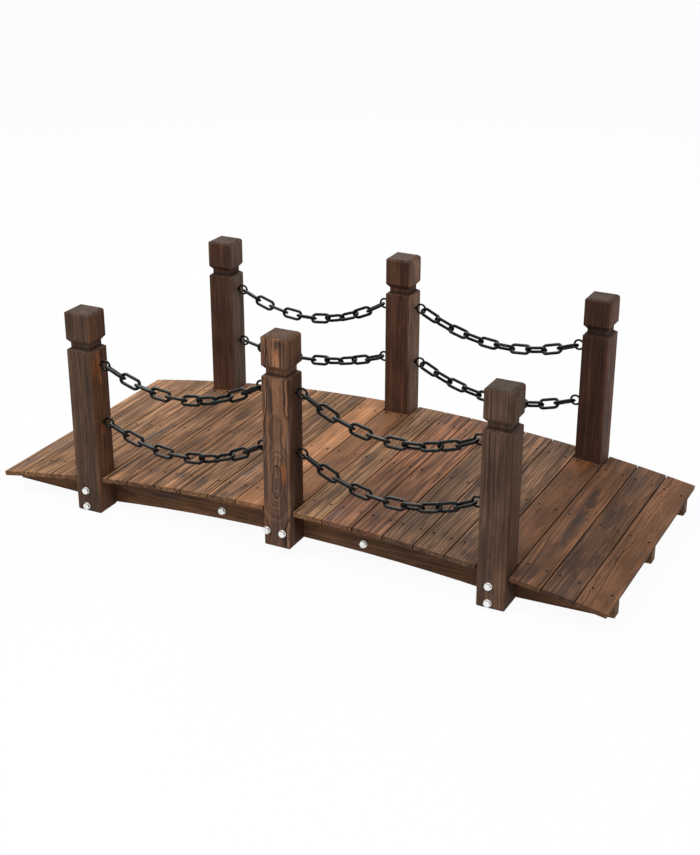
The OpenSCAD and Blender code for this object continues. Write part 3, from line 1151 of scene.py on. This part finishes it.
@dataclass
class Deck:
    """The deck's cross boards and the screws that hold them to the beams.

    Attributes:
        thick: A board's thickness, in metres.
        ease: The radius of a board's rubbed edges, in metres.
        ease_steps: How many facets round an edge.
        sharp_deg: The least angle of an edge that gets rubbed, in degrees.
        bends: How many places along a board can wander.
        bow: How far a board's ends and faces wander, in metres.
        wander: The least and most shares of the bow across, along and up.
        wear_and_highlight: How much a board's edges are worn and carry a painted highlight.
        hair: How much the finest fibres lighten and darken a strongly veined board.
        streaks: How much warm streaks show on a strongly veined board.
        screw: The screws' head.
        screw_in: A screw's distance from its board's middle line, in metres.
        screw_seed: A number that settles how the screws are turned.
        boards: The look of each board from left to right.
        spots: The places of the screws, which the boards give.
    """

    thick: float = 0.011
    ease: float = 0.0010
    ease_steps: int = 3
    sharp_deg: float = 60.0
    bends: int = 9
    bow: float = 0.0003
    wander: tuple[Spot, Spot] = ((-0.5, -1.0, -0.4), (0.5, 1.0, 0.0))
    wear_and_highlight: float = 0.45
    hair: float = 0.5
    streaks: float = 0.52
    screw: ScrewHead = ScrewHead()
    screw_in: float = 0.0207
    screw_seed: int = 7
    boards: tuple[BoardChoice, ...] = BOARDS
    spots: list[Matrix] = field(default_factory=list)

    def build(self) -> None:
        """Lay every board and drive the screws."""
        middle = (len(self.boards) + 1) // 2
        # The line from the first board to the third one has the second one's lean
        first, third = (sum(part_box(f"deck_board_{number:02d}"), Vector()) / 2 for number in (1, 3))
        rise = math.atan2(third.z - first.z, third.x - first.x)
        step = rise / (middle - 2)
        for number, choice in enumerate(self.boards, 1):
            self.lay_board(number, choice, step * (number - middle))
        self.drive_screws()

    def lay_board(self, number: int, choice: BoardChoice, lean: float) -> None:
        """Make one eased board in place of its plain solid, and note its screws' places.

        Args:
            number: The board's number from the left.
            choice: What it looks like.
            lean: Its turn along the arc, in radians.
        """
        node = f"deck_board_{number:02d}"
        low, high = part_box(node)
        centre = (low + high) / 2
        length = high.y - low.y
        width = (high.x - low.x - self.thick * abs(math.sin(lean))) / math.cos(lean)
        shape = self.board_shape(width, length, number)
        place = Matrix.Translation(centre) @ Matrix.Rotation(lean, 4, "Y")
        bmesh.ops.transform(shape, matrix=place, verts=shape.verts)
        board = settle(f"board_{number:02d}", shape)
        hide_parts(node)
        finish = WoodFinish(
            choice.tone.value,
            lines=choice.lines,
            veins=choice.veins,
            streaks=self.streaks * choice.lively(),
            scorch=choice.scorch,
            knots=choice.knots,
            wear_and_highlight=self.wear_and_highlight,
            figure=choice.figure,
            hair=self.hair * choice.lively(),
            marks=choice.marks,
        )
        sawing = choice.sawing.value
        timber = Timber(board.name, centre, width / 2, length / 2, Grain.ACROSS, sawing, number, lean)
        finished(board, finish.material(timber))
        for beam in BEAMS:
            row = sum(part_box(beam), Vector()).y / 2
            # A short board ends before the outer beams
            if abs(row) > length / 2 - self.screw_in / 2:
                continue
            for side in (-self.screw_in, self.screw_in):
                self.spots.append(place @ Matrix.Translation((side, row - centre.y, self.thick / 2)))

    def board_shape(self, width: float, length: float, seed: int) -> bmesh.types.BMesh:
        """Shape one board with rubbed edges and slightly uneven faces.

        Args:
            width: The board's width, in metres.
            length: The board's length, in metres.
            seed: A number that makes its unevenness its own.

        Returns:
            The board about its own middle.
        """
        wobble = random.Random(seed)
        shape = bmesh.new()
        bmesh.ops.create_cube(shape, size=1.0)
        bmesh.ops.scale(shape, vec=(width, length, self.thick), verts=shape.verts)
        long_edges = [e for e in shape.edges if abs((e.verts[0].co - e.verts[1].co).y) > length / 2]
        bmesh.ops.subdivide_edges(shape, edges=long_edges, cuts=self.bends, use_grid_fill=True)
        for vert in shape.verts:
            shares = [wobble.uniform(least, most) for least, most in zip(*self.wander)]
            vert.co += self.bow * Vector(shares)
        sharp = [e for e in shape.edges if e.calc_face_angle(0.0) > math.radians(self.sharp_deg)]
        bmesh.ops.bevel(
            shape,
            geom=sharp,
            offset=self.ease,
            segments=self.ease_steps,
            profile=0.5,
            affect="EDGES",
            material=-1,
        )
        for face in shape.faces:
            face.smooth = True
        return shape

    def drive_screws(self) -> None:
        """Put a screw head at every place that the boards gave."""
        one = bpy.data.meshes.new("screw_head")
        shape = self.screw.shape()
        shape.to_mesh(one)
        shape.free()
        turns = random.Random(self.screw_seed)
        rows = bmesh.new()
        for spot in self.spots:
            before = len(rows.verts)
            rows.from_mesh(one)
            rows.verts.ensure_lookup_table()
            turned = spot @ Matrix.Rotation(turns.uniform(0.0, math.pi), 4, "Z")
            bmesh.ops.transform(rows, matrix=turned, verts=rows.verts[before:])
        finished(settle("deck_screws", rows), SCREW_DARK.material())


@dataclass(frozen=True)
class PostChoice:
    """What one post looks like.

    Attributes:
        node: The post's name.
        sawing: How it was sawn.
        finish: Its finish.
    """

    node: str
    sawing: Sawing
    finish: WoodFinish


# The look of each post; the right-face colours are painted shade on the front posts and a painted sheen on
# the back ones
POSTS = (
    PostChoice("front_left_post", Sawing.STRAIGHT, WoodFinish(
        Timbers.SHADED.value,
        lines=0.4,
        veins=0.3,
        streaks=0.25,
        right_face_lighting=(87, 57, 39),
        crown=(84, 68, 60),
        marks=(
            Mark((FACE, 0.115, 0.012), (0.020, 0.034, 0.018), Smudge.RUST, 0.5),
            Mark((FACE, -0.040, 0.004), (0.020, 0.016, 0.014), Smudge.RUST, 0.5),
        ),
    )),
    PostChoice("front_middle_post", Sawing.LOOPED, WoodFinish(
        Timbers.FIGURED.value,
        lines=1.0,
        veins=0.15,
        figure=0.8,
        fading=0.1,
        hair=0.12,
        right_face_lighting=(44, 25, 10),
        crown=(66, 54, 47),
        marks=(
            Mark((0.000, -0.130, FACE), (0.060, 0.220, 0.020), Smudge.KNOT, 0.9),
            Mark((0.005, 0.041, FACE), (0.010, 0.030, 0.030), Smudge.KNOT, 0.6),
            Mark((0.003, -0.078, FACE), (0.013, 0.038, 0.030), Smudge.SOOT, 0.6),
            Mark((0.005, 0.224, FACE), (0.011, 0.016, 0.020), Smudge.CHAR, 0.9),
            Mark((0.006, 0.203, FACE), (0.010, 0.016, 0.020), Smudge.RUST, 0.5),
            Mark((0.020, -0.060, FACE), (0.007, 0.028, 0.020), Smudge.RUST, 0.7),
            Mark((0.034, -0.062, 0.020), (0.016, 0.024, 0.022), Smudge.CHAR, 0.5),
            Mark((FACE, 0.220, 0.000), (0.010, 0.060, 0.060), Smudge.BARE, 0.5),
            Mark.stripe(-0.0226, 0.205, 0.034),
            Mark.stripe(-0.0146, 0.203, 0.040),
            Mark.stripe(-0.0055, 0.205, 0.036),
            Mark.stripe(0.0163, 0.207, 0.034),
            Mark.stripe(0.0270, 0.200, 0.036),
            Mark.stripe(0.0233, 0.100, 0.060),
            Mark.stripe(-0.0080, 0.110, 0.036),
            Mark.stripe(-0.0160, 0.105, 0.050),
            Mark.stripe(-0.0240, 0.095, 0.060),
        ),
    )),
    PostChoice("front_right_post", Sawing.STRAIGHT, WoodFinish(
        Timbers.POST.value,
        lines=0.5,
        streaks=0.2,
        right_face_lighting=(76, 53, 38),
        crown=(68, 56, 49),
        marks=(
            Mark((-0.009, -0.169, FACE), (0.010, 0.020, 0.030), Smudge.SOOT, 0.6),
            Mark((0.002, -0.082, FACE), (0.004, 0.014, 0.020), Smudge.CHAR, 0.7),
            Mark((-0.008, -0.118, FACE), (0.004, 0.010, 0.020), Smudge.CHAR, 0.7),
        ),
    )),
    PostChoice("back_left_post", Sawing.RIFT, WoodFinish(
        Timbers.DEEP.value, lines=0.5, right_face_lighting=(98, 80, 68), crown=(84, 68, 60),
    )),
    PostChoice("back_middle_post", Sawing.ARCHED_DOWN, WoodFinish(
        Timbers.DEEP.value, lines=0.6, right_face_lighting=(119, 91, 75), crown=(84, 68, 60),
    )),
    PostChoice("back_right_post", Sawing.STRAIGHT, WoodFinish(
        Timbers.DARK.value, lines=0.5, streaks=0.2, right_face_lighting=(100, 73, 60), crown=(84, 68, 60),
    )),
)


@dataclass
class Posts:
    """The six posts, each with its own figure.

    Attributes:
        groove_down: How far the foot of the neck lies below a post's top, in metres.
        first_seed: The first post's seed.
        looks: The look of each post.
    """

    groove_down: float = 0.085
    first_seed: int = 41
    looks: tuple[PostChoice, ...] = POSTS

    def build(self) -> None:
        """Give every post its finish."""
        for seed, choice in enumerate(self.looks, self.first_seed):
            node, cut = choice.node, choice.sawing.value
            low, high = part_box(node)
            half, reach = (high.x - low.x) / 2, (high.z - low.z) / 2
            groove = reach - self.groove_down
            timber = Timber(node, (low + high) / 2, half, reach, Grain.UP, cut, seed, groove=groove)
            finished(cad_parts[node], choice.finish.material(timber))


@dataclass
class Underframe:
    """The three arched beams and the two cross rails under the deck.

    Attributes:
        finish: The beams' finish.
        sawing: How they were sawn.
        first_seed: The first beam's seed.
    """

    finish: WoodFinish = WoodFinish(
        Timbers.BEAM.value,
        lines=0.6,
        veins=0.35,
        streaks=0.4,
        wear_and_highlight=0.2,
        marks=(
            Mark((-0.020, -0.330, 0.0), (0.030, 0.070, 0.011), Smudge.SOOT, 0.7),
            Mark((-0.020, 0.250, 0.0), (0.030, 0.090, 0.010), Smudge.CHAR, 0.6),
        ),
    )
    sawing: Sawing = Sawing.RIFT
    first_seed: int = 61

    def build(self) -> None:
        """Give every beam and rail its finish."""
        for seed, node in enumerate(BEAMS + RAILS, self.first_seed):
            low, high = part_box(node)
            grain = Grain.ALONG if node in BEAMS else Grain.ACROSS
            across, along = (high - low).yx / 2 if grain is Grain.ALONG else (high - low).xy / 2
            timber = Timber(node, (low + high) / 2, across, along, grain, self.sawing.value, seed)
            finished(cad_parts[node], self.finish.material(timber))


@dataclass
class Ironwork:
    """The chains, their screw eyes and the bolts.

    Attributes:
        chain: The finish of chains and eyes.
        zinc: The finish of bolts.
    """

    chain: MetalFinish = CHAIN_BLACK
    zinc: MetalFinish = BOLT_ZINC

    def build(self) -> None:
        """Give every chain, eye and bolt its finish."""
        black = self.chain.material()
        finishes = {"chain": black, "eyes": black, "bolts": self.zinc.material()}
        for node, solid in sorted(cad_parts.items()):
            kind = node.rsplit("_", 1)[-1]
            if kind in finishes:
                finished(solid, finishes[kind])


@dataclass(frozen=True)
class Lamp:
    """One soft light.

    Attributes:
        name: The light's name.
        place: Where it hangs, in metres.
        size: The side of its panel, in metres.
        power: Its power, in watts.
    """

    name: str
    place: Spot
    size: float
    power: float


@dataclass
class Studio:
    """The pale floor, the soft lights and the camera.

    Attributes:
        picture: The picture's width and height, in pixels.
        focal: The focal length, in pixels of that picture.
        sensor: The width of the camera's sensor, in millimetres.
        azimuth_deg: The camera's way round from the front, in degrees.
        elevation_deg: The camera's height angle, in degrees.
        roll_deg: The camera's roll, in degrees.
        distance: The camera's distance from its target, in metres.
        far: How far the camera sees, in metres.
        target: The point that the camera looks at, in metres.
        floor_half: Half the floor's side, in metres.
        floor_down: How far the floor lies below the bridge's feet, in metres.
        floor_tone: The floor's own brightness.
        floor_white: How much of the floor's tone is plain white where it is seen.
        sky: The strength of the all-round light.
        lamps: The lights.
    """

    picture: tuple[int, int] = (700, 855)
    focal: float = 1527.8
    sensor: float = 36.0
    azimuth_deg: float = 26.654
    elevation_deg: float = 23.44
    roll_deg: float = 0.045
    distance: float = 3.5605
    far: float = 100.0
    target: Spot = (0.0096, -0.0019, 0.1858)
    floor_half: float = 20.0
    floor_down: float = 0.0005
    floor_tone: float = 0.86
    floor_white: float = 0.95
    sky: float = 0.55
    lamps: tuple[Lamp, ...] = (
        Lamp("key_light", (-1.6, -2.4, 3.4), 1.5, 95.0),
        Lamp("fill_light", (2.8, -1.2, 2.2), 1.4, 30.0),
        Lamp("back_light", (-1.2, 2.7, 2.6), 1.3, 35.0),
    )

    def build(self) -> None:
        """Set up the whole studio."""
        bpy.context.scene.view_settings.view_transform = "Standard"
        self.set_camera()
        self.lay_floor()
        self.light_sky()
        for lamp in self.lamps:
            self.hang_light(lamp)

    def set_camera(self) -> None:
        """Put the camera where the photograph was taken from."""
        camera = bpy.data.cameras.new("camera")
        camera.sensor_width = self.sensor
        camera.lens = self.focal / max(self.picture) * self.sensor
        camera.clip_end = self.far
        holder = bpy.data.objects.new("camera", camera)
        bpy.context.scene.collection.objects.link(holder)
        turn = math.radians(self.azimuth_deg)
        rise = math.radians(self.elevation_deg)
        back = Vector((math.sin(turn) * math.cos(rise), -math.cos(turn) * math.cos(rise), math.sin(rise)))
        holder.location = Vector(self.target) + self.distance * back
        level = back.to_track_quat("Z", "Y")
        holder.rotation_mode = "QUATERNION"
        holder.rotation_quaternion = level @ Quaternion((0.0, 0.0, 1.0), math.radians(self.roll_deg))
        bpy.context.scene.camera = holder

    def lay_floor(self) -> None:
        """Lay a plain white floor that keeps the bridge's shadow."""
        shape = bmesh.new()
        bmesh.ops.create_grid(shape, x_segments=1, y_segments=1, size=self.floor_half)
        bmesh.ops.translate(shape, vec=(0.0, 0.0, -self.floor_down), verts=shape.verts)
        floor = placed("floor", shape)
        bench = MaterialBench("floor_paper")
        tone = (self.floor_tone, self.floor_tone, self.floor_tone, 1.0)
        bench.surface(Base_Color=tone, Roughness=0.9, Specular_IOR_Level=0.0)
        glow = bench.add("ShaderNodeEmission", {"Color": WHITE, "Strength": 1.0})
        seen = bench.times(bench.seen(), self.floor_white)
        shown = bench.add("ShaderNodeMixShader", {0: seen, 1: bench.shader.outputs[0], 2: glow.outputs[0]})
        bench.feed(bench.output.inputs["Surface"], shown.outputs[0])
        finished(floor, bench.material)

    def light_sky(self) -> None:
        """Light the scene from all round, with white where the camera sees past the floor."""
        world = bpy.data.worlds.new("studio")
        world.use_nodes = True
        bench = NodeBench(world.node_tree)
        soft = bench.add("ShaderNodeBackground", {"Color": WHITE, "Strength": self.sky})
        white = bench.add("ShaderNodeBackground", {"Color": WHITE, "Strength": 1.0})
        blend = bench.add("ShaderNodeMixShader", {0: bench.seen(), 1: soft.outputs[0], 2: white.outputs[0]})
        bench.add("ShaderNodeOutputWorld", {"Surface": blend.outputs[0]})
        bpy.context.scene.world = world

    def hang_light(self, lamp: Lamp) -> None:
        """Hang one soft light that faces the bridge.

        Args:
            lamp: The light.
        """
        light = bpy.data.lights.new(lamp.name, "AREA")
        light.size = lamp.size
        light.energy = lamp.power
        holder = bpy.data.objects.new(lamp.name, light)
        bpy.context.scene.collection.objects.link(holder)
        holder.location = lamp.place
        holder.rotation_mode = "QUATERNION"
        holder.rotation_quaternion = (Vector(lamp.place) - Vector(self.target)).to_track_quat("Z", "Y")


def main() -> None:
    """Build the sub-assemblies in order and set up the studio."""
    logging.basicConfig(level=logging.INFO, format="%(name)s %(message)s")
    for part in (Studio(), Deck(), Posts(), Underframe(), Ironwork()):
        part.build()
        log.info("%s: done", type(part).__name__)


if __name__ == "__main__":
    main()
